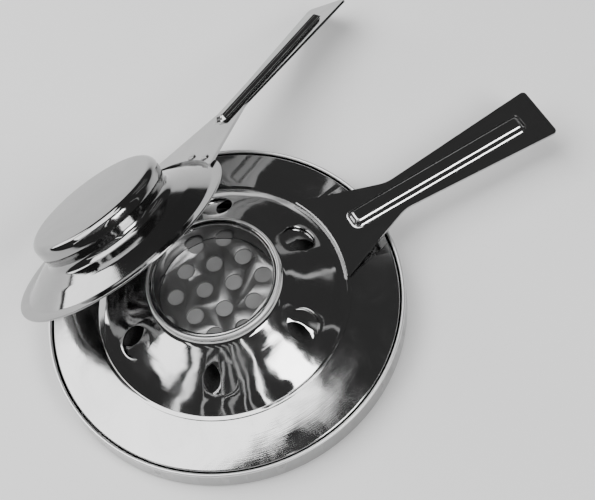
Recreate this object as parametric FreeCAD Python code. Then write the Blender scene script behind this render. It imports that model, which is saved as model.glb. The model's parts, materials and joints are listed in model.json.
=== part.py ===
"""Alcohol spirit stove: pan with drip flange, wick burner, turning air regulator and a lift-off snuffer cap.

Millimetres, +Z up. The origin is the centre of the pan's underside, and the burner's axis is Z.
The regulator's handle lies along +X. The snuffer cap leans on the edge of the pan behind the burner.
"""
import FreeCAD, Part
import math
import os

from FreeCAD import Vector

os.makedirs("parts", exist_ok=True)

# ---- sheet metal ----
SHEET = 0.6                 # pressed shells
PAN_SHEET = 0.7             # pan
HANDLE_SHEET = 0.9          # handle blanks
RUN_GAP = 0.1               # radial clearance of the regulator's neck on the burner's neck

# ---- pan and drip flange ----
PAN_R = 60.6                # outside of the pan wall
PAN_H = 9.8                 # top of the pan's rolled bead
BEAD_R = 0.6                # section of the rolled beads
FLANGE_R = 58.9             # downturned edge of the drip flange, inside the bead
FLANGE_EDGE_Z = 9.3         # top of the flange at its edge
FLANGE_SEAT_Z = 13.0        # flat ring around the burner
FLANGE_SEAT_R = 42.5        # where the flat ring turns down into the slope
FLANGE_BORE_R = 38.3        # hole for the fuel cup

# ---- fuel cup, wadding and wick parts ----
CUP_R = 37.9
CUP_FLOOR_Z = 1.2
CUP_BRIM_Z = FLANGE_SEAT_Z - SHEET - 0.1
CUP_BRIM_R = 41.0
WADDING_TOP_Z = 11.5
COLLAR_R = 20.15            # outside of the tube that lines the neck
COLLAR_WALL = 0.6
COLLAR_FOOT_Z = 18.6
COLLAR_TOP_Z = 28.9
COLLAR_LEDGE_R = 17.9       # inner edge of the ledge that carries the plate
PLATE_Z = COLLAR_FOOT_Z + 1.0
PLATE_SHEET = 0.6
PLATE_HOLE_R = 2.95
PLATE_PITCH = 9.8
PLATE_ROW_ANGLE = -17.5     # degrees from +X
PLATE_HOLE_START = (-3.6, 2.5)

# ---- burner cone and regulator cone ----
NECK_R = 20.85              # bore of the regulator's neck
NECK_TOP_Z = 29.6
NECK_FILLET_R = 3.0         # where the neck rises from the dome
CONE_BRIM_Z = 13.8
AIR_HOLES = 6
AIR_HOLE_R = 5.5
AIR_HOLE_AT_R = 31.8
AIR_HOLE_AT_Z = 20.4
AIR_HOLE_SLOPE = 29.5       # degrees, slope of the cone at the holes
AIR_HOLE_START = 2.8        # degrees from the handle
AIR_OFFSET = -10.0          # the burner's holes behind the regulator's: about half open
TURN_OPEN = -10.0           # regulator travel, degrees, holes in line
TURN_SHUT = 20.0            # regulator travel, degrees, holes covered

# ---- handles ----
FAN_SLOPE = 0.38            # how fast the root fan narrows
WAIST_X = 68.0
WAIST_HALF = 6.1
WAIST_FILLET_R = 12.0
TIP_HALF = 10.2
TIP_CORNER_R = 1.6
RIB_HALF = 3.9
RIB_TOP_HALF = 1.6
RIB_CORNER_R = 2.6
RIB_H = 1.9
REG_HANDLE_REACH = 126.5
REG_HANDLE_Z = CONE_BRIM_Z + 0.1
REG_HANDLE_ROOT_R = 42.3
REG_RIB_START = 50.0
CAP_HANDLE_REACH = 130.0
CAP_HANDLE_ROOT_R = 37.2
CAP_RIB_START = 58.0
RIB_TO_TIP = 7.3

# ---- stop pin under the regulator's handle ----
PIN_AT_R = 45.5
PIN_ANGLE = -3.0            # degrees from the handle's middle
PIN_R = 1.1
PIN_SLOT_R = 1.45
PIN_HEAD_R = 2.3
PIN_HEAD_TOP_Z = 10.1
PIN_HEAD_H = 0.7
WASHER_R = 2.1
WASHER_H = 0.35

# ---- snuffer cap, in its own frame: brim underside on z = 0, handle along +x ----
CAP_BRIM_R = 40.1
CAP_TOP_R = 24.3
CAP_WAIST_R = 23.0
CAP_H = 15.9
RIVET_R = 0.8
RIVET_HEAD_R = 1.5
RIVET_AT_R = 38.7
RIVET_ANGLES = (-19.0, -5.0)

# ---- where the cap leans ----
CAP_CENTRE = (-18.94, 26.08, 36.4)
CAP_LEAN_TOWARDS = 103.3    # degrees about Z, the way the cap's top faces
CAP_LEAN = 41.06            # degrees from upright
CAP_TURN = -69.9            # degrees about the cap's own axis


def xz(r, z):
    return Vector(r, 0, z)


def rounded_path(corners):
    """Wire in the XZ plane through (r, z, fillet) corners, with a tangent arc at each fillet."""
    points = [xz(c[0], c[1]) for c in corners]
    edges = []
    start = points[0]
    for i in range(1, len(points) - 1):
        here = points[i]
        back = (points[i - 1] - here).normalize()
        ahead = (points[i + 1] - here).normalize()
        half = back.getAngle(ahead) / 2
        radius = corners[i][2]
        reach = radius / math.tan(half)
        tangent_in = here + back * reach
        tangent_out = here + ahead * reach
        inward = (back + ahead).normalize()
        middle = here + inward * (radius / math.sin(half) - radius)
        edges.append(Part.LineSegment(start, tangent_in).toShape())
        edges.append(Part.Arc(tangent_in, middle, tangent_out).toShape())
        start = tangent_out
    edges.append(Part.LineSegment(start, points[-1]).toShape())
    return Part.Wire(edges)


def pressed(corners, sheet, side):
    """Round pressing: the path is one face of the sheet, and side (1 or -1) is the way it thickens."""
    strip = rounded_path(corners).makeOffset2D(side * sheet, join=0, fill=True, openResult=True)
    section = Part.Face(Part.Wire(Part.__sortEdges__(strip.Edges)))
    return section.revolve(Vector(0, 0, 0), Vector(0, 0, 1), 360)


def turned(points):
    """Round solid from a closed outline of (r, z) points."""
    outline = Part.makePolygon([xz(r, z) for r, z in points] + [xz(*points[0])])
    return Part.Face(outline).revolve(Vector(0, 0, 0), Vector(0, 0, 1), 360)


def ring_bead(radius, z, section):
    return Part.makeTorus(radius, section, Vector(0, 0, z))


def disc(radius, z, height, x=0.0, y=0.0):
    return Part.makeCylinder(radius, height, Vector(x, y, z))


def polar(radius, degrees):
    a = math.radians(degrees)
    return radius * math.cos(a), radius * math.sin(a)


def with_air_holes(shell, start_angle):
    """Six round holes square to the slope of the cone."""
    slope = math.radians(AIR_HOLE_SLOPE)
    for i in range(AIR_HOLES):
        angle = start_angle + i * 360.0 / AIR_HOLES
        normal = Vector(math.sin(slope), 0, math.cos(slope))
        punch = Part.makeCylinder(AIR_HOLE_R, 8, xz(AIR_HOLE_AT_R, AIR_HOLE_AT_Z) - normal * 4, normal)
        punch.rotate(Vector(0, 0, 0), Vector(0, 0, 1), angle)
        shell = shell.cut(punch)
    return shell


def base_pan():
    wall = [(0, 0, 0), (PAN_R, 0, 1.6), (PAN_R, PAN_H - BEAD_R, 0)]
    bead = ring_bead(PAN_R - BEAD_R, PAN_H - BEAD_R, BEAD_R)
    return pressed(wall, PAN_SHEET, 1).fuse(bead)


def pin_slot():
    """Curved slot that the stop pin travels in, with room at each end for the pin."""
    low = PIN_ANGLE + TURN_OPEN - 0.4
    high = PIN_ANGLE + TURN_SHUT + 0.4
    depth = 8
    z = FLANGE_SEAT_Z - 5
    ring = disc(PIN_AT_R + PIN_SLOT_R, z, depth).cut(disc(PIN_AT_R - PIN_SLOT_R, z, depth))
    far = 2 * PIN_AT_R
    wedge_points = [(0, 0), polar(far, low), polar(far, (low + high) / 2), polar(far, high), (0, 0)]
    wedge = Part.Face(Part.makePolygon([Vector(x, y, z) for x, y in wedge_points])).extrude(Vector(0, 0, depth))
    slot = ring.common(wedge)
    for angle in (low, high):
        slot = slot.fuse(disc(PIN_SLOT_R, z, depth, *polar(PIN_AT_R, angle)))
    return slot


def drip_flange():
    top_face = [
        (FLANGE_R, 5.0, 0),
        (FLANGE_R, FLANGE_EDGE_Z, 0.8),
        (FLANGE_SEAT_R, FLANGE_SEAT_Z, 5.0),
        (FLANGE_BORE_R, FLANGE_SEAT_Z, 0),
    ]
    return pressed(top_face, SHEET, 1).cut(pin_slot())


def fuel_cup():
    outside = [
        (0, CUP_FLOOR_Z, 0),
        (CUP_R, CUP_FLOOR_Z, 3.0),
        (CUP_R, CUP_BRIM_Z - SHEET, 0.4),
        (CUP_BRIM_R, CUP_BRIM_Z - SHEET, 0),
    ]
    return pressed(outside, SHEET, 1)


def wadding():
    """Absorbent wadding: a thick pad with a raised plug under the plate."""
    outer_r = CUP_R - SHEET - 0.4
    floor = CUP_FLOOR_Z + SHEET + 0.2
    plug_r = COLLAR_LEDGE_R - 0.4
    return turned([
        (0, floor),
        (outer_r - 3.0, floor),
        (outer_r, floor + 3.0),
        (outer_r, WADDING_TOP_Z - 1.5),
        (outer_r - 1.5, WADDING_TOP_Z),
        (plug_r + 2.0, WADDING_TOP_Z),
        (plug_r, WADDING_TOP_Z + 2.0),
        (plug_r, COLLAR_FOOT_Z - 0.1),
        (0, COLLAR_FOOT_Z - 0.1),
    ])


def neck_collar():
    """Tube that lines the burner's neck, with a ledge inside its foot and a lip over the neck."""
    inner = COLLAR_R - COLLAR_WALL
    lip_r = COLLAR_R + 0.4
    lip_z = COLLAR_TOP_Z - COLLAR_WALL
    return turned([
        (COLLAR_LEDGE_R, COLLAR_FOOT_Z),
        (COLLAR_R, COLLAR_FOOT_Z),
        (COLLAR_R, lip_z),
        (lip_r, lip_z + 0.1),
        (lip_r, COLLAR_TOP_Z - 0.2),
        (lip_r - 0.2, COLLAR_TOP_Z),
        (inner + 0.2, COLLAR_TOP_Z),
        (inner, COLLAR_TOP_Z - 0.2),
        (inner, COLLAR_FOOT_Z + 0.5),
        (COLLAR_LEDGE_R, COLLAR_FOOT_Z + 0.5),
    ])


def wick_gauze():
    return disc(COLLAR_R - COLLAR_WALL - 0.15, COLLAR_FOOT_Z + 0.55, 0.35)


def perforated_plate():
    """Disc cut from perforated sheet, so the hole pattern runs off its edge."""
    plate_r = COLLAR_R - COLLAR_WALL - 0.1
    plate = disc(plate_r, PLATE_Z, PLATE_SHEET)
    along = Vector(*polar(PLATE_PITCH, PLATE_ROW_ANGLE), 0)
    across = Vector(*polar(PLATE_PITCH, PLATE_ROW_ANGLE + 60), 0)
    first = Vector(*PLATE_HOLE_START, 0)
    span = 4
    for i in range(-span, span + 1):
        for j in range(-span, span + 1):
            centre = first + along * i + across * j
            if centre.Length < plate_r + PLATE_HOLE_R - 0.8:
                plate = plate.cut(disc(PLATE_HOLE_R, PLATE_Z - 1, 3, centre.x, centre.y))
    return plate


def burner_cone():
    outer_neck = NECK_R - RUN_GAP
    top_face = [
        (40.5, CONE_BRIM_Z, 0),
        (39.4, CONE_BRIM_Z, 0.4),
        (38.05, 15.8, 5.0),
        (30.55, 20.05, 60.0),
        (outer_neck, 24.87, NECK_FILLET_R - SHEET),
        (outer_neck, COLLAR_TOP_Z - COLLAR_WALL - 0.1, 0),
    ]
    return with_air_holes(pressed(top_face, SHEET, 1), AIR_HOLE_START + AIR_OFFSET)


def regulator_cone():
    outer_neck = NECK_R + SHEET
    top_face = [
        (43.2, CONE_BRIM_Z, 0),
        (41.9, CONE_BRIM_Z, 0.6),
        (38.6, 16.6, 14.0),
        (31.0, 20.9, 60.0),
        (outer_neck, 25.6, NECK_FILLET_R),
        (outer_neck, NECK_TOP_Z - BEAD_R, 0),
    ]
    shell = with_air_holes(pressed(top_face, SHEET, 1), AIR_HOLE_START)
    return shell.fuse(ring_bead(NECK_R + 0.15 + BEAD_R, NECK_TOP_Z - BEAD_R, BEAD_R))


def rounded_bar(start, end, half, corner, z):
    """Wire of a long rectangle with rounded corners, from x = start to x = end."""
    bar = Part.makePolygon([
        Vector(start, -half, z),
        Vector(end, -half, z),
        Vector(end, half, z),
        Vector(start, half, z),
        Vector(start, -half, z),
    ])
    block = Part.Face(bar).extrude(Vector(0, 0, 1))
    rounded = block.makeFillet(corner, [e for e in block.Edges if is_upright(e)])
    floor = min(rounded.Faces, key=lambda face: face.CenterOfMass.z)
    return floor.OuterWire


def rib_body(start, end, shrink, z, height):
    """Rib with sloping sides, shrunk all round by the sheet for its hollow underside."""
    drawn_in = RIB_HALF - RIB_TOP_HALF
    low = rounded_bar(start + shrink, end - shrink, RIB_HALF - shrink, RIB_CORNER_R - shrink, z)
    top_half = RIB_TOP_HALF - shrink
    high = rounded_bar(start + shrink + drawn_in, end - shrink - drawn_in, top_half, top_half * 0.6, z + height)
    return Part.makeLoft([low, high], True, True)


def handle_blank(root_r, reach, rib_start, z):
    """Flat handle: a fan that hugs the shell, a waist, and a blade that widens to the tip, with a rib."""
    root_y = WAIST_HALF + FAN_SLOPE * (WAIST_X - root_r * 0.92)
    root_x = math.sqrt(root_r ** 2 - root_y ** 2)
    right = [Vector(root_x, -root_y, z), Vector(WAIST_X, -WAIST_HALF, z), Vector(reach, -TIP_HALF, z)]
    left = [Vector(p.x, -p.y, z) for p in reversed(right)]
    outline = [Part.LineSegment(a, b).toShape() for a, b in zip(right + left, right[1:] + left)]
    outline.append(Part.Arc(left[-1], Vector(root_r, 0, z), right[0]).toShape())
    blank = Part.Face(Part.Wire(outline)).extrude(Vector(0, 0, HANDLE_SHEET))
    tip_edges = [e for e in blank.Edges if is_upright(e) and e.CenterOfMass.x > reach - 0.1]
    blank = blank.makeFillet(TIP_CORNER_R, tip_edges)
    waist_edges = [e for e in blank.Edges if is_upright(e) and abs(e.CenterOfMass.x - WAIST_X) < 0.1]
    blank = blank.makeFillet(WAIST_FILLET_R, waist_edges)
    rib_end = reach - RIB_TO_TIP
    bump = rib_body(rib_start, rib_end, 0, z + HANDLE_SHEET, RIB_H)
    hollow = rib_body(rib_start, rib_end, HANDLE_SHEET * 0.8, z - 0.01, RIB_H + 0.01)
    return blank.fuse(bump).cut(hollow)


def is_upright(edge):
    run = edge.Vertexes[-1].Point - edge.Vertexes[0].Point
    return abs(run.z) > 0.5 and math.hypot(run.x, run.y) < 1e-6


def regulator_handle():
    return handle_blank(REG_HANDLE_ROOT_R, REG_HANDLE_REACH, REG_RIB_START, REG_HANDLE_Z)


def stop_pin():
    """Pin under the handle that runs in the flange's slot, with a head below the flange."""
    x, y = polar(PIN_AT_R, PIN_ANGLE)
    foot = PIN_HEAD_TOP_Z - PIN_HEAD_H
    shank = disc(PIN_R, foot, REG_HANDLE_Z - foot, x, y)
    return shank.fuse(disc(PIN_HEAD_R, foot, PIN_HEAD_H, x, y))


def spring_washer():
    """Thin washer between the pin's head and the flange, which holds the regulator where it is put."""
    x, y = polar(PIN_AT_R, PIN_ANGLE)
    ring = disc(WASHER_R, PIN_HEAD_TOP_Z + 0.02, WASHER_H, x, y)
    return ring.cut(disc(PIN_R + 0.05, PIN_HEAD_TOP_Z, 1, x, y))


def rivet_places():
    return [polar(RIVET_AT_R, angle) for angle in RIVET_ANGLES]


def snuffer_cap():
    top_face = [
        (CAP_BRIM_R, SHEET, 0),
        (36.4, SHEET, 1.6),
        (30.0, 4.0, 9.0),
        (CAP_WAIST_R, 6.6, 2.6),
        (CAP_TOP_R, 11.6, 5.0),
        (CAP_TOP_R, CAP_H, 2.4),
        (0, CAP_H, 0),
    ]
    shell = pressed(top_face, SHEET, 1)
    for x, y in rivet_places():
        shell = shell.cut(disc(RIVET_R + 0.05, -1, 3, x, y))
    return shell


def snuffer_handle():
    handle = handle_blank(CAP_HANDLE_ROOT_R, CAP_HANDLE_REACH, CAP_RIB_START, SHEET + 0.05)
    for x, y in rivet_places():
        handle = handle.cut(disc(RIVET_R + 0.05, -1, 4, x, y))
    return handle


def snuffer_rivets():
    """Two small rivets that hold the handle on the cap's brim."""
    top = SHEET + 0.05 + HANDLE_SHEET
    rivets = []
    for x, y in rivet_places():
        shank = disc(RIVET_R, -0.35, top + 0.75, x, y)
        head = disc(RIVET_HEAD_R, top + 0.03, 0.45, x, y)
        tail = disc(RIVET_HEAD_R - 0.2, -0.38, 0.35, x, y)
        rivets.append(shank.fuse([head, tail]).removeSplitter())
    return Part.makeCompound(rivets)


def lean(shape):
    """Put a shape from the cap's own frame where the cap leans."""
    turns = (
        FreeCAD.Rotation(Vector(0, 0, 1), CAP_LEAN_TOWARDS)
        * FreeCAD.Rotation(Vector(0, 1, 0), CAP_LEAN)
        * FreeCAD.Rotation(Vector(0, 0, 1), CAP_TURN)
    )
    return shape.transformed(FreeCAD.Placement(Vector(*CAP_CENTRE), turns).toMatrix(), True)


NODES = {
    "base_pan": base_pan(),
    "drip_flange": drip_flange(),
    "fuel_cup": fuel_cup(),
    "wadding": wadding(),
    "neck_collar": neck_collar(),
    "wick_gauze": wick_gauze(),
    "perforated_plate": perforated_plate(),
    "burner_cone": burner_cone(),
    "regulator_cone": regulator_cone(),
    "regulator_handle": regulator_handle(),
    "stop_pin": stop_pin(),
    "spring_washer": spring_washer(),
    "snuffer_cap": lean(snuffer_cap()),
    "snuffer_handle": lean(snuffer_handle()),
    "snuffer_rivets": lean(snuffer_rivets()),
}

for node, shape in NODES.items():
    shape.exportStep("parts/" + node + ".step")
    box = shape.BoundBox
    print(node, shape.isValid(), len(shape.Solids), round(shape.Volume, 1), "z", round(box.ZMin, 2), round(box.ZMax, 2))
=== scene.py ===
"""Polished steel spirit stove: pan, drip flange, burner, turning air regulator and a leaning snuffer cap."""
import bpy
import json
import math
from mathutils import Matrix, Vector


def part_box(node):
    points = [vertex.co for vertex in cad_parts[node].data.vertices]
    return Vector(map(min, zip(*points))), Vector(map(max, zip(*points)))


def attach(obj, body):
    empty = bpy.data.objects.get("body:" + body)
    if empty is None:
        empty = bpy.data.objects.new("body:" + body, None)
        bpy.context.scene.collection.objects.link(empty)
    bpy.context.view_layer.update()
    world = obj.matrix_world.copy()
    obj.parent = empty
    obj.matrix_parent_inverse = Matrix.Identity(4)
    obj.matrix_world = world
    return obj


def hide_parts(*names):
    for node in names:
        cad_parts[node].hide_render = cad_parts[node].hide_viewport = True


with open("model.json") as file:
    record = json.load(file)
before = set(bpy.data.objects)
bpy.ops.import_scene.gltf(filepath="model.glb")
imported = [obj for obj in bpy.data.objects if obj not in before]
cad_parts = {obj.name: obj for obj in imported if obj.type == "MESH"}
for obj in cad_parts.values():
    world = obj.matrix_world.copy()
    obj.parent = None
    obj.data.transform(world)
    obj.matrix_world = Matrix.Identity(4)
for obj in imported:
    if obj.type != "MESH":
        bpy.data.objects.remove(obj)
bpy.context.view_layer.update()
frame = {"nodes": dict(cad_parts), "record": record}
nodes = frame["nodes"]
MM = 0.001

# ---- Camera ----
# A short telephoto looks steeply down over the burner from the front, a little to the left,
# and is tipped so that the regulator's handle climbs to the upper right.
eye = Vector((-32.5, -230.9, 442.3)) * MM
aim = Vector((32.1, 8.9, 0)) * MM
tip = math.radians(17.0)
forward = (aim - eye).normalized()
level = forward.cross(Vector((0, 0, 1))).normalized()
down = forward.cross(level)
right = level * math.cos(tip) + down * math.sin(tip)
below = down * math.cos(tip) - level * math.sin(tip)
camera_data = bpy.data.cameras.new("camera")
camera_data.sensor_width = 36
camera_data.lens = 88.8
camera_data.clip_start = 0.01
camera = bpy.data.objects.new("camera", camera_data)
bpy.context.scene.collection.objects.link(camera)
turn = Matrix((right, -below, -forward)).transposed()
camera.matrix_world = Matrix.Translation(eye) @ turn.to_4x4()
bpy.context.scene.camera = camera

# ---- Floor and studio light ----
# A pale matt tabletop under two soft ceiling panels, with a tall window panel in front on the right and a
# low panel behind on the left. Eleven narrow strips and a dim room are there for the steel to mirror.
bpy.ops.object.select_all(action="DESELECT")
bpy.ops.mesh.primitive_plane_add(size=3.0, location=(0, 0.2, -0.0002))
floor = bpy.context.object
floor.name = "floor"
paint = bpy.data.materials.new("pale_table")
paint.use_nodes = True
paint.node_tree.nodes["Principled BSDF"].inputs["Base Color"].default_value = (0.92, 0.92, 0.92, 1)
paint.node_tree.nodes["Principled BSDF"].inputs["Roughness"].default_value = 0.9
floor.data.materials.append(paint)

room = bpy.data.worlds.new("room")
room.use_nodes = True
room.node_tree.nodes["Background"].inputs["Color"].default_value = (1, 1, 1, 1)
room.node_tree.nodes["Background"].inputs["Strength"].default_value = 0.06
bpy.context.scene.world = room


def soft_panel(name, place, aim_at, width, height, glow):
    """A rectangular soft light that faces a point; glow is how bright its face looks."""
    data = bpy.data.lights.new(name, "AREA")
    data.shape = "RECTANGLE"
    data.size = width
    data.size_y = height
    data.energy = glow * math.pi * width * height
    lamp = bpy.data.objects.new(name, data)
    bpy.context.scene.collection.objects.link(lamp)
    lamp.location = place
    lamp.rotation_euler = (Vector(aim_at) - Vector(place)).to_track_quat("-Z", "Y").to_euler()


soft_panel("ceiling_front", (-0.45, 0.04, 0.92), (-0.45, 0.04, 0), 1.30, 0.28, 4.4)
soft_panel("ceiling_back", (-0.535, 0.59, 0.92), (-0.535, 0.59, 0), 1.13, 0.82, 4.4)
soft_panel("front_window", (0.30, -0.62, 0.66), (0, 0, 0), 0.36, 0.46, 11)
soft_panel("back_left_panel", (-0.66, 1.0, 0.36), (0, 0, 0.02), 0.5, 0.6, 4.5)
strip_height = 0.5
strips = (  # bearing, distance out, height above the table, width, glow
    (-174, 0.50, 0.55, 0.016, 6), (-163, 0.50, 0.55, 0.020, 0.6), (-157, 0.50, 0.55, 0.010, 1.1),
    (-149, 0.50, 0.55, 0.030, 0.45), (-140, 0.50, 0.55, 0.012, 1.0), (-128, 0.50, 0.55, 0.035, 0.6),
    (-108, 0.60, 0.50, 0.060, 2.6), (82, 0.85, 0.50, 0.050, 0.7), (60, 0.85, 0.55, 0.100, 0.35),
    (42, 0.85, 0.62, 0.040, 0.8), (118, 0.80, 0.45, 0.040, 0.5),
)
for bearing, out, height, width, glow in strips:
    spot = Vector((out * math.sin(math.radians(bearing)), out * math.cos(math.radians(bearing)), height))
    soft_panel("strip_light", spot, (0, 0, 0), width, strip_height, glow)

# ---- Base pan ----
# A shallow round pan drawn from thin stainless sheet and polished all over.
# Its wall ends in a rolled bead that also stiffens the edge, and it stands on its flat underside.


def spun_sheet(name, corners, sheet, face=1, steps=192):
    """A round pressing, drawn through (radius, height, fillet) corners, rounded and given its thickness."""
    bpy.ops.object.select_all(action="DESELECT")
    radius, height, _ = corners[0]
    bpy.ops.mesh.primitive_circle_add(vertices=steps, radius=radius * MM, location=(0, 0, height * MM))
    shell = bpy.context.object
    shell.name = name
    bpy.ops.object.transform_apply(location=True)
    bpy.ops.object.mode_set(mode="EDIT")
    for next_radius, next_height, _ in corners[1:]:
        rise = (next_height - height) * MM
        bpy.ops.mesh.extrude_edges_move(TRANSFORM_OT_translate={"value": (0, 0, rise)})
        grow = next_radius / radius
        bpy.ops.transform.resize(value=(grow, grow, 1), center_override=(0, 0, 0))
        radius, height = next_radius, next_height
        if radius == 0:
            bpy.ops.mesh.merge(type="CENTER")
    for before, corner, after in zip(corners, corners[1:], corners[2:]):
        round_ring(shell, before, corner, after)
    bpy.ops.object.mode_set(mode="OBJECT")
    turn_face_out(shell, corners, face)
    wall = shell.modifiers.new("sheet", "SOLIDIFY")
    wall.thickness = sheet * MM
    wall.offset = -1
    wall.use_even_offset = True
    bpy.ops.object.modifier_apply(modifier="sheet")
    return shell


def round_ring(shell, before, corner, after):
    """Bevels one ring of edges to its fillet radius."""
    if corner[2] == 0:
        return
    inward = Vector((corner[0] - before[0], corner[1] - before[1]))
    onward = Vector((after[0] - corner[0], after[1] - corner[1]))
    bend = inward.angle(onward)
    bpy.ops.mesh.select_all(action="DESELECT")
    bpy.ops.object.mode_set(mode="OBJECT")
    on_ring = [
        abs(math.hypot(v.co.x, v.co.y) - corner[0] * MM) < 2e-5 and abs(v.co.z - corner[1] * MM) < 2e-5
        for v in shell.data.vertices
    ]
    for edge in shell.data.edges:
        edge.select = on_ring[edge.vertices[0]] and on_ring[edge.vertices[1]]
    bpy.ops.object.mode_set(mode="EDIT")
    bpy.ops.mesh.select_mode(type="EDGE")
    reach = corner[2] * MM * math.tan(bend / 2)
    rounds = max(3, round(math.degrees(bend) / 6))
    bpy.ops.mesh.bevel(offset=reach, offset_type="OFFSET", segments=rounds, profile=0.5, clamp_overlap=False)


def turn_face_out(shell, corners, face):
    """Points the drawn face away from the sheet's thickness."""
    first = shell.data.polygons[0]
    along = Vector((corners[1][0] - corners[0][0], corners[1][1] - corners[0][1]))
    wanted = Vector((along.y, -along.x)) * face
    outward = Vector((first.center.x, first.center.y)).normalized()
    normal = Vector((first.normal.x * outward.x + first.normal.y * outward.y, first.normal.z))
    if normal.dot(wanted) < 0:
        shell.data.flip_normals()


def ease_edges(piece, width=0.14, angle=40, rounds=2):
    """Breaks the sharp edges and shades the piece smooth."""
    bpy.ops.object.select_all(action="DESELECT")
    piece.select_set(True)
    bpy.context.view_layer.objects.active = piece
    ease = piece.modifiers.new("ease", "BEVEL")
    ease.limit_method = "ANGLE"
    ease.angle_limit = math.radians(angle)
    ease.width = width * MM
    ease.segments = rounds
    ease.harden_normals = False
    bpy.ops.object.modifier_apply(modifier="ease")
    bpy.ops.object.shade_smooth_by_angle(angle=math.radians(35))


def carve(piece, cutter, how="DIFFERENCE"):
    """Cuts one mesh with another, or joins them, and removes the cutter."""
    bpy.ops.object.select_all(action="DESELECT")
    piece.select_set(True)
    bpy.context.view_layer.objects.active = piece
    cut = piece.modifiers.new("carve", "BOOLEAN")
    cut.operation = how
    cut.solver = "EXACT"
    cut.object = cutter
    bpy.ops.object.modifier_apply(modifier="carve")
    bpy.data.objects.remove(cutter)


def ring_bead(radius, height, section):
    """A rolled bead, ready to be joined to a shell."""
    bpy.ops.object.select_all(action="DESELECT")
    bpy.ops.mesh.primitive_torus_add(
        major_segments=192, minor_segments=20, major_radius=radius * MM, minor_radius=section * MM,
        location=(0, 0, height * MM))
    bead = bpy.context.object
    bpy.ops.object.transform_apply(location=True)
    return bead


def polished_steel(name, wave=0.25, smudge=0.1, tint=0.5, turned=None, rings=0.05, dullness=0.045):
    """Mirror-polished stainless: turning lines, hairline scratches, finger smudges and a slight waviness."""
    steel = bpy.data.materials.new(name)
    steel.use_nodes = True
    tree = steel.node_tree
    link = tree.links.new
    shader = tree.nodes["Principled BSDF"]
    shader.inputs["Metallic"].default_value = 1.0
    place = tree.nodes.new("ShaderNodeTexCoord").outputs["Object"]
    centred = tree.nodes.new("ShaderNodeMapping")
    centred.vector_type = "TEXTURE"
    if turned:
        centred.inputs["Location"].default_value = turned[0]
        centred.inputs["Rotation"].default_value = turned[1]
    link(place, centred.inputs["Vector"])

    smears = tree.nodes.new("ShaderNodeTexNoise")
    smears.inputs["Scale"].default_value = 55
    smears.inputs["Detail"].default_value = 6
    smears.inputs["Roughness"].default_value = 0.62
    smears.inputs["Distortion"].default_value = 0.8
    link(place, smears.inputs["Vector"])

    gloss = tree.nodes.new("ShaderNodeMapRange")
    gloss.inputs["From Min"].default_value = 0.42
    gloss.inputs["From Max"].default_value = 0.72
    gloss.inputs["To Min"].default_value = dullness
    gloss.inputs["To Max"].default_value = dullness + smudge
    link(smears.outputs["Fac"], gloss.inputs["Value"])
    link(gloss.outputs["Result"], shader.inputs["Roughness"])

    tone = tree.nodes.new("ShaderNodeMapRange")
    tone.inputs["From Min"].default_value = 0.3
    tone.inputs["From Max"].default_value = 0.75
    tone.inputs["To Min"].default_value = tint
    tone.inputs["To Max"].default_value = tint * 0.86
    link(smears.outputs["Fac"], tone.inputs["Value"])
    link(tone.outputs["Result"], shader.inputs["Base Color"])

    flat = tree.nodes.new("ShaderNodeVectorMath")
    flat.operation = "MULTIPLY"
    flat.inputs[1].default_value = (1, 1, 0)
    link(centred.outputs["Vector"], flat.inputs[0])
    reach = tree.nodes.new("ShaderNodeVectorMath")
    reach.operation = "LENGTH"
    link(flat.outputs["Vector"], reach.inputs[0])
    lines = tree.nodes.new("ShaderNodeTexNoise")
    lines.noise_dimensions = "1D"
    lines.inputs["Scale"].default_value = 2600
    lines.inputs["Detail"].default_value = 3
    link(reach.outputs["Value"], lines.inputs["W"])
    line_bump = tree.nodes.new("ShaderNodeBump")
    line_bump.inputs["Strength"].default_value = rings
    line_bump.inputs["Distance"].default_value = 0.0001
    link(lines.outputs["Fac"], line_bump.inputs["Height"])

    stretched = tree.nodes.new("ShaderNodeMapping")
    stretched.inputs["Scale"].default_value = (1, 34, 1)
    stretched.inputs["Rotation"].default_value = (0.3, 0.2, 0.9)
    link(place, stretched.inputs["Vector"])
    hairlines = tree.nodes.new("ShaderNodeTexNoise")
    hairlines.inputs["Scale"].default_value = 160
    hairlines.inputs["Detail"].default_value = 2
    link(stretched.outputs["Vector"], hairlines.inputs["Vector"])
    hair_bump = tree.nodes.new("ShaderNodeBump")
    hair_bump.inputs["Strength"].default_value = 0.03
    hair_bump.inputs["Distance"].default_value = 0.0001
    link(hairlines.outputs["Fac"], hair_bump.inputs["Height"])
    link(line_bump.outputs["Normal"], hair_bump.inputs["Normal"])

    sway = tree.nodes.new("ShaderNodeTexNoise")
    sway.inputs["Scale"].default_value = 70
    sway.inputs["Detail"].default_value = 1.5
    link(place, sway.inputs["Vector"])
    sway_bump = tree.nodes.new("ShaderNodeBump")
    sway_bump.inputs["Strength"].default_value = wave
    sway_bump.inputs["Distance"].default_value = 0.001
    link(sway.outputs["Fac"], sway_bump.inputs["Height"])
    link(hair_bump.outputs["Normal"], sway_bump.inputs["Normal"])
    link(sway_bump.outputs["Normal"], shader.inputs["Normal"])
    return steel


pan_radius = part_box("base_pan")[1].x / MM
pan_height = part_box("base_pan")[1].z / MM
bead_section = 0.6
# How far down the rim the scuffed finish and its painted highlight reach.
scuff_and_highlight_depth = 1.25
pan = spun_sheet("base_pan_steel", [
    (pan_radius, pan_height - bead_section, 0),
    (pan_radius, 0, 1.6),
    (0, 0, 0),
], 0.7, face=-1)
carve(pan, ring_bead(pan_radius - bead_section, pan_height - bead_section, bead_section), "UNION")
ease_edges(pan)
pan.data.materials.append(polished_steel("pan_steel", wave=0.12, tint=0.34))


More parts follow.
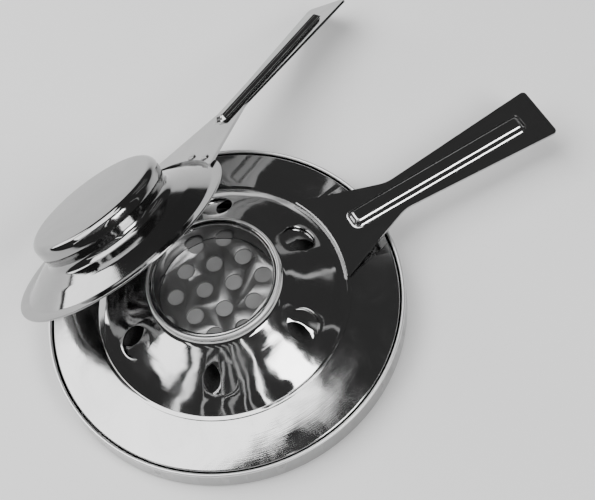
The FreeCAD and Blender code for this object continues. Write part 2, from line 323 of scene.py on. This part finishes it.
def scuff_and_highlight_rim(shell, above, beyond):
    """Gives the rolled edge of a shell a finely scuffed, rougher finish, as handling leaves it, and a much
    lighter colour that is a painted highlight for the bright ring along the bead.
    """
    # The tint of 0.85, far lighter than the shell's own steel, is the painted highlight; the raised
    # roughness is the scuffing.
    scuff_and_highlight_steel = polished_steel("scuffed_and_highlit_edge_" + shell.name, wave=0.05, smudge=0.1, tint=0.85, dullness=0.4)
    shell.data.materials.append(scuff_and_highlight_steel)
    for polygon in shell.data.polygons:
        middle = polygon.center
        if middle.z > above * MM and math.hypot(middle.x, middle.y) > beyond * MM:
            polygon.material_index = 1


scuff_and_highlight_rim(pan, pan_height - scuff_and_highlight_depth, pan_radius - scuff_and_highlight_depth)
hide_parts("base_pan")
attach(pan, "base")

# ---- Drip flange ----
# The wide sloping ring that closes the pan and catches spilt spirit, pressed from sheet.
# Its edge turns down inside the pan's bead, and a curved slot near the cone lets the stop pin travel.
flange_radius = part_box("drip_flange")[1].x / MM
flange_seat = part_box("drip_flange")[1].z / MM
flange = spun_sheet("drip_flange_steel", [
    (flange_radius, 5.0, 0),
    (flange_radius, 9.3, 0.8),
    (42.5, flange_seat, 5.0),
    (38.3, flange_seat, 0),
], 0.6)
pin_radius, pin_angle, slot_half = 45.5, -3.0, 1.45
slot_cut_height, slot_cut_depth = 0.011, 0.008
travel = frame["record"]["behaviour"]["joints"][0]["range_deg"]
bpy.ops.object.select_all(action="DESELECT")
bpy.ops.mesh.primitive_plane_add(
    size=1, location=(pin_radius * MM, 0, slot_cut_height), rotation=(math.radians(90), 0, 0))
slot = bpy.context.object
slot.scale = (2 * slot_half * MM, slot_cut_depth, 1)
bpy.ops.object.transform_apply(location=True, rotation=True, scale=True)
first_end = Matrix.Rotation(math.radians(pin_angle + travel[0]), 4, "Z")
last_end = Matrix.Rotation(math.radians(pin_angle + travel[1]), 4, "Z")
slot.data.transform(first_end)
bpy.ops.object.mode_set(mode="EDIT")
bpy.ops.mesh.select_all(action="SELECT")
bpy.ops.mesh.spin(
    steps=30, angle=math.radians(travel[0] - travel[1]), center=(0, 0, 0), axis=(0, 0, 1))
bpy.ops.mesh.select_all(action="SELECT")
bpy.ops.mesh.normals_make_consistent(inside=False)
bpy.ops.object.mode_set(mode="OBJECT")
carve(flange, slot)
for end in (first_end, last_end):
    bpy.ops.object.select_all(action="DESELECT")
    bpy.ops.mesh.primitive_cylinder_add(
        vertices=40, radius=slot_half * MM, depth=slot_cut_depth,
        location=end @ Vector((pin_radius * MM, 0, slot_cut_height)))
    bpy.ops.object.transform_apply(location=True)
    carve(flange, bpy.context.object)
ease_edges(flange, width=0.1)
flange.data.materials.append(polished_steel("flange_steel", wave=0.2, smudge=0.16))
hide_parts("drip_flange")
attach(flange, "base")

# ---- Burner cone ----
# The fixed inner cone under the regulator, with the same six air holes set a little behind the outer ones.
# It is pressed from sheet, and its neck is the bearing that the regulator turns on.


def air_holes(cone, start):
    """Six round holes punched square to the cone's slope, the first at start degrees from the handle."""
    slope = math.radians(29.5)
    middle = Vector((31.8, 0, 20.4)) * MM
    hole_radius, punch_depth = 5.5, 8
    for i in range(6):
        bearing = math.radians(start + 60 * i)
        bpy.ops.object.select_all(action="DESELECT")
        bpy.ops.mesh.primitive_cylinder_add(
            vertices=96, radius=hole_radius * MM, depth=punch_depth * MM,
            location=Matrix.Rotation(bearing, 3, "Z") @ middle, rotation=(0, slope, bearing))
        bpy.ops.object.transform_apply(location=True, rotation=True)
        carve(cone, bpy.context.object)


burner = spun_sheet("burner_cone_steel", [
    (40.5, 13.8, 0),
    (39.4, 13.8, 0.4),
    (38.05, 15.8, 5.0),
    (30.55, 20.05, 60.0),
    (20.75, 24.87, 2.4),
    (20.75, 28.2, 0),
], 0.6, steps=256)
burner_holes_start = -7.2
air_holes(burner, burner_holes_start)
ease_edges(burner, width=0.1)
burner.data.materials.append(polished_steel("burner_steel", wave=0.25))
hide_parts("burner_cone")
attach(burner, "base")

# ---- Regulator cone ----
# The domed outer cone that turns over the burner to open and shut the air holes.
# Pressed and polished, with a rolled rim at the top of its neck and a narrow foot brim.
neck_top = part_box("regulator_cone")[1].z / MM
foot_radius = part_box("regulator_cone")[1].x / MM
regulator = spun_sheet("regulator_cone_steel", [
    (foot_radius, 13.8, 0),
    (41.9, 13.8, 0.6),
    (38.6, 16.6, 14.0),
    (31.0, 20.9, 60.0),
    (21.45, 25.6, 3.0),
    (21.45, neck_top - bead_section, 0),
], 0.6, steps=256)
regulator_holes_start = 2.8
air_holes(regulator, regulator_holes_start)
rim_radius = 21.6
carve(regulator, ring_bead(rim_radius, neck_top - bead_section, bead_section), "UNION")
ease_edges(regulator, width=0.16, rounds=3)
regulator.data.materials.append(polished_steel("regulator_steel", wave=0.5))
# The regulator's rim bead gets the scuffed finish and the painted highlight too.
scuff_and_highlight_rim(regulator, neck_top - scuff_and_highlight_depth, 21.3)
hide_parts("regulator_cone")
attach(regulator, "regulator")

# ---- Neck collar, gauze and perforated plate ----
# A thin tube lines the burner's neck and carries the plate on a ledge inside its foot.
# The plate is a disc cut from perforated sheet, and fine gauze under it holds the wadding down.
collar = spun_sheet("neck_collar_steel", [
    (20.55, 28.9, 0),
    (19.55, 28.9, 0.5),
    (19.55, 19.1, 0.3),
    (17.9, 19.1, 0),
], 0.6)
ease_edges(collar, width=0.1)
collar.data.materials.append(polished_steel("collar_steel", wave=0.2, tint=0.42))
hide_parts("neck_collar")
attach(collar, "base")

plate_low, plate_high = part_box("perforated_plate")
plate_thick = (plate_high.z - plate_low.z) / MM
plate_mid = (plate_high.z + plate_low.z) / 2
plate_radius = plate_high.x / MM
bpy.ops.object.select_all(action="DESELECT")
bpy.ops.mesh.primitive_cylinder_add(
    vertices=160, radius=plate_radius * MM, depth=plate_thick * MM, location=(0, 0, plate_mid))
plate = bpy.context.object
plate.name = "perforated_plate_steel"
bpy.ops.object.transform_apply(location=True)
pitch, hole_radius, punch_depth = 9.8, 2.95, 3
row_angle = -17.5
first_hole = Vector((-3.6, 2.5))
edge_cut = 2.15  # how far past the disc's edge a hole's centre may lie and still cut it
row = Matrix.Rotation(math.radians(row_angle), 2)
across = Matrix.Rotation(math.radians(row_angle + 60), 2)
for i in range(-4, 5):
    for j in range(-4, 5):
        hole = first_hole + row @ Vector((pitch * i, 0)) + across @ Vector((pitch * j, 0))
        if hole.length < plate_radius + edge_cut:
            bpy.ops.object.select_all(action="DESELECT")
            bpy.ops.mesh.primitive_cylinder_add(
                vertices=48, radius=hole_radius * MM, depth=punch_depth * MM,
                location=(hole.x * MM, hole.y * MM, plate_mid))
            bpy.ops.object.transform_apply(location=True)
            carve(plate, bpy.context.object)
ease_edges(plate, width=0.12)
plate_steel = polished_steel("plate_steel", wave=0.25, smudge=0.25, tint=0.42, rings=0.0, dullness=0.28)
plate.data.materials.append(plate_steel)
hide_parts("perforated_plate")
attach(plate, "base")

# ---- Handles ----
# Both handles are stamped from flat sheet: a fan that hugs the round shell, a waist, and a blade that
# widens to a square tip. A raised rib down the middle keeps the blade stiff. They are welded or riveted on.


def stamped_handle(name, root_radius, reach, rib_start, underside):
    """A flat strip drawn out to the handle's outline, with its rib raised, then given its thickness."""
    waist, waist_half, tip_half = 68.0, 6.1, 10.2
    fan_slope, corner, sheet = 0.38, 1.6, 0.9
    blend_length, hug_length = 2.7, 9.0
    root_y = waist_half + fan_slope * (waist - root_radius * 0.92)
    root_x = math.sqrt(root_radius ** 2 - root_y ** 2)
    blade_slope = (tip_half - waist_half) / (reach - waist)

    def half_width(x):
        fan = waist_half + fan_slope * (waist - x)
        blade = waist_half + blade_slope * (x - waist)
        soft = max(0.0, 1 - abs(x - waist) / blend_length)
        width = max(fan, blade) + 0.25 * (fan_slope + blade_slope) * blend_length * soft * soft
        left = reach - x
        if left < corner:
            width -= corner - math.sqrt(max(0.0, corner ** 2 - (corner - left) ** 2))
        return width

    def rib_height(x, y):
        rib_half, rib_corner, rise, flank = 3.9, 2.6, 1.9, 2.3
        rib_end = reach - 7.3
        long_half = (rib_end - rib_start) / 2
        past_x = abs(x - (rib_start + rib_end) / 2) - (long_half - rib_corner)
        past_y = abs(y) - (rib_half - rib_corner)
        outside = math.hypot(max(past_x, 0), max(past_y, 0)) + min(max(past_x, past_y), 0)
        share = min(1.0, max(0.0, (rib_corner - outside) / flank))
        return rise * share * share * (3 - 2 * share)

    rows, cells = 230, 64
    bpy.ops.object.select_all(action="DESELECT")
    bpy.ops.mesh.primitive_grid_add(x_subdivisions=rows, y_subdivisions=cells, size=2)
    handle = bpy.context.object
    handle.name = name
    for vertex in handle.data.vertices:
        share = (vertex.co.x + 1) / 2
        eased = share - 0.6 * math.sin(2 * math.pi * share) / (2 * math.pi)
        x = root_x + (reach - root_x) * eased
        y = vertex.co.y * half_width(x)
        hug = max(0.0, 1 - (x - root_x) / hug_length)
        if hug > 0:
            x += (math.sqrt(root_radius ** 2 - min(abs(y), root_y) ** 2) - root_x) * hug
        z = underside + sheet + rib_height(x, y)
        vertex.co = Vector((x, y, z)) * MM
    if handle.data.polygons[0].normal.z < 0:
        handle.data.flip_normals()
    wall = handle.modifiers.new("sheet", "SOLIDIFY")
    wall.thickness = sheet * MM
    wall.offset = -1
    bpy.ops.object.modifier_apply(modifier="sheet")
    ease_edges(handle, width=0.2, angle=75, rounds=3)
    return handle


handle_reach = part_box("regulator_handle")[1].x / MM
regulator_handle = stamped_handle(
    "regulator_handle_steel", root_radius=42.3, reach=handle_reach, rib_start=50.0, underside=13.9)
regulator_handle.data.materials.append(polished_steel("handle_steel", wave=0.12, smudge=0.08, rings=0.0))
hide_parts("regulator_handle")
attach(regulator_handle, "regulator")

# ---- Snuffer cap ----
# A spun cap with a flat brim that puts the flame out and covers every air hole when it sits on the cone.
# It leans on the edge of the pan, and its handle is riveted to the brim.
cap_centre = Vector((-18.94, 26.08, 36.4)) * MM
cap_turns = (
    Matrix.Rotation(math.radians(103.3), 3, "Z")
    @ Matrix.Rotation(math.radians(41.06), 3, "Y")
    @ Matrix.Rotation(math.radians(-69.9), 3, "Z")
)


def lean(piece):
    """Moves a piece from the cap's own upright frame to where the cap leans."""
    piece.data.transform(Matrix.Translation(cap_centre) @ cap_turns.to_4x4())
    piece.data.update()


cap = spun_sheet("snuffer_cap_steel", [
    (40.1, 0.6, 0),
    (36.4, 0.6, 1.6),
    (30.0, 4.0, 9.0),
    (23.0, 6.6, 2.6),
    (24.3, 11.6, 5.0),
    (24.3, 15.9, 2.4),
    (0, 15.9, 0),
], 0.6)
ease_edges(cap, width=0.16, rounds=3)
lean(cap)
cap_frame = (cap_centre, cap_turns.to_euler())
cap.data.materials.append(polished_steel("cap_steel", wave=0.14, tint=0.34, turned=cap_frame))
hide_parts("snuffer_cap")
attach(cap, "snuffer")

snuffer_handle = stamped_handle(
    "snuffer_handle_steel", root_radius=37.2, reach=130.0, rib_start=58.0, underside=0.65)
lean(snuffer_handle)
snuffer_handle_finish = polished_steel("snuffer_handle_finish", wave=0.1, tint=0.42, rings=0.0)
snuffer_handle.data.materials.append(snuffer_handle_finish)
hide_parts("snuffer_handle")
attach(snuffer_handle, "snuffer")

# ---- Rivets ----
# Two small round-headed steel rivets hold the snuffer's handle on the cap's brim, set over on its underside.
rivet_steel = bpy.data.materials.new("rivet_steel")
rivet_steel.use_nodes = True
rivet_shader = rivet_steel.node_tree.nodes["Principled BSDF"]
rivet_shader.inputs["Metallic"].default_value = 1.0
rivet_grime = rivet_steel.node_tree.nodes.new("ShaderNodeTexNoise")
rivet_grime.inputs["Scale"].default_value = 1400
rivet_grime.inputs["Detail"].default_value = 4
rivet_place = rivet_steel.node_tree.nodes.new("ShaderNodeTexCoord")
rivet_steel.node_tree.links.new(rivet_place.outputs["Object"], rivet_grime.inputs["Vector"])
for socket, clean, grimy in (("Base Color", 0.44, 0.30), ("Roughness", 0.18, 0.42)):
    spread = rivet_steel.node_tree.nodes.new("ShaderNodeMapRange")
    spread.inputs["From Min"].default_value = 0.35
    spread.inputs["From Max"].default_value = 0.7
    spread.inputs["To Min"].default_value = clean
    spread.inputs["To Max"].default_value = grimy
    rivet_steel.node_tree.links.new(rivet_grime.outputs["Fac"], spread.inputs["Value"])
    rivet_steel.node_tree.links.new(spread.outputs["Result"], rivet_shader.inputs[socket])

bpy.ops.object.select_all(action="DESELECT")
head_radius, shank_radius, tail_radius = 1.5, 0.8, 1.3
head_middle, shank_middle, tail_middle = 1.805, 0.7, -0.205
bpy.ops.mesh.primitive_cylinder_add(
    vertices=40, radius=head_radius * MM, depth=0.45 * MM, location=(0, 0, head_middle * MM))
rivet = bpy.context.object
rivet.name = "snuffer_rivet_1"
bpy.ops.object.transform_apply(location=True)
bpy.ops.object.mode_set(mode="EDIT")
bpy.ops.mesh.select_all(action="DESELECT")
bpy.ops.mesh.primitive_cylinder_add(
    vertices=24, radius=shank_radius * MM, depth=2.2 * MM, location=(0, 0, shank_middle * MM))
bpy.ops.mesh.select_all(action="DESELECT")
bpy.ops.mesh.primitive_cylinder_add(
    vertices=32, radius=tail_radius * MM, depth=0.35 * MM, location=(0, 0, tail_middle * MM))
bpy.ops.object.mode_set(mode="OBJECT")
ease_edges(rivet, width=0.2, angle=50, rounds=4)
rivet.data.materials.append(rivet_steel)
rivet_circle, rivet_angles = 38.7, (-19.0, -5.0)
places = [Matrix.Rotation(math.radians(a), 3, "Z") @ Vector((rivet_circle * MM, 0, 0)) for a in rivet_angles]
second_rivet = bpy.data.objects.new("snuffer_rivet_2", rivet.data.copy())
bpy.context.scene.collection.objects.link(second_rivet)
for piece, place in zip((rivet, second_rivet), places):
    piece.data.transform(Matrix.Translation(place))
    lean(piece)
    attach(piece, "snuffer")
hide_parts("snuffer_rivets")

# ---- Stop pin and spring washer ----
# Turned steel pin under the regulator's handle, with a thin washer above its head that holds the setting.
for name in ("stop_pin", "spring_washer"):
    nodes[name].data.materials.clear()
    nodes[name].data.materials.append(rivet_steel)

# ---- Fuel cup ----
# The deep-drawn cup that holds the spirit, left with a dull inside and dried spirit stains.
cup_steel = bpy.data.materials.new("dull_cup_steel")
cup_steel.use_nodes = True
tree = cup_steel.node_tree
shader = tree.nodes["Principled BSDF"]
shader.inputs["Metallic"].default_value = 1.0
stain = tree.nodes.new("ShaderNodeTexNoise")
stain.inputs["Scale"].default_value = 120
stain.inputs["Detail"].default_value = 5
stain.inputs["Distortion"].default_value = 1.2
tree.links.new(tree.nodes.new("ShaderNodeTexCoord").outputs["Object"], stain.inputs["Vector"])
for socket, clean, stained in (("Base Color", 0.30, 0.16), ("Roughness", 0.28, 0.6)):
    spread = tree.nodes.new("ShaderNodeMapRange")
    spread.inputs["From Min"].default_value = 0.35
    spread.inputs["From Max"].default_value = 0.7
    spread.inputs["To Min"].default_value = clean
    spread.inputs["To Max"].default_value = stained
    tree.links.new(stain.outputs["Fac"], spread.inputs["Value"])
    tree.links.new(spread.outputs["Result"], shader.inputs[socket])
nodes["fuel_cup"].data.materials.clear()
nodes["fuel_cup"].data.materials.append(cup_steel)

# ---- Wadding ----
# Absorbent mineral wadding packed into the cup, grey and matted from use, with fine tangled fibres.
wadding_felt = bpy.data.materials.new("matted_wadding")
wadding_felt.use_nodes = True
tree = wadding_felt.node_tree
shader = tree.nodes["Principled BSDF"]
shader.inputs["Roughness"].default_value = 0.95
shader.inputs["Sheen Weight"].default_value = 0.3
place = tree.nodes.new("ShaderNodeTexCoord").outputs["Object"]
fibres = tree.nodes.new("ShaderNodeTexNoise")
fibres.inputs["Scale"].default_value = 900
fibres.inputs["Detail"].default_value = 5
fibres.inputs["Distortion"].default_value = 2.5
tree.links.new(place, fibres.inputs["Vector"])
felt_tone = tree.nodes.new("ShaderNodeMapRange")
felt_tone.inputs["From Min"].default_value = 0.3
felt_tone.inputs["From Max"].default_value = 0.7
felt_tone.inputs["To Min"].default_value = 0.05
felt_tone.inputs["To Max"].default_value = 0.14
tree.links.new(fibres.outputs["Fac"], felt_tone.inputs["Value"])
tree.links.new(felt_tone.outputs["Result"], shader.inputs["Base Color"])
felt_bump = tree.nodes.new("ShaderNodeBump")
felt_bump.inputs["Strength"].default_value = 0.8
felt_bump.inputs["Distance"].default_value = 0.0003
tree.links.new(fibres.outputs["Fac"], felt_bump.inputs["Height"])
tree.links.new(felt_bump.outputs["Normal"], shader.inputs["Normal"])
nodes["wadding"].data.materials.clear()
nodes["wadding"].data.materials.append(wadding_felt)

# ---- Wick gauze ----
# A disc of fine woven wire under the perforated plate, grey and matt between the plate's holes.
gauze_wire = bpy.data.materials.new("woven_gauze")
gauze_wire.use_nodes = True
tree = gauze_wire.node_tree
shader = tree.nodes["Principled BSDF"]
shader.inputs["Metallic"].default_value = 0.35
shader.inputs["Roughness"].default_value = 0.6
place = tree.nodes.new("ShaderNodeTexCoord").outputs["Object"]
weave = []
for direction in ("X", "Y"):
    wires = tree.nodes.new("ShaderNodeTexWave")
    wires.bands_direction = direction
    wires.inputs["Scale"].default_value = 900
    wires.inputs["Distortion"].default_value = 0.4
    tree.links.new(place, wires.inputs["Vector"])
    weave.append(wires)
mesh_height = tree.nodes.new("ShaderNodeMath")
mesh_height.operation = "MULTIPLY"
tree.links.new(weave[0].outputs["Fac"], mesh_height.inputs[0])
tree.links.new(weave[1].outputs["Fac"], mesh_height.inputs[1])
wire_tone = tree.nodes.new("ShaderNodeMapRange")
wire_tone.inputs["To Min"].default_value = 0.34
wire_tone.inputs["To Max"].default_value = 0.46
tree.links.new(mesh_height.outputs["Value"], wire_tone.inputs["Value"])
tree.links.new(wire_tone.outputs["Result"], shader.inputs["Base Color"])
wire_bump = tree.nodes.new("ShaderNodeBump")
wire_bump.inputs["Strength"].default_value = 0.5
wire_bump.inputs["Distance"].default_value = 0.0001
tree.links.new(mesh_height.outputs["Value"], wire_bump.inputs["Height"])
tree.links.new(wire_bump.outputs["Normal"], shader.inputs["Normal"])
nodes["wick_gauze"].data.materials.clear()
nodes["wick_gauze"].data.materials.append(gauze_wire)
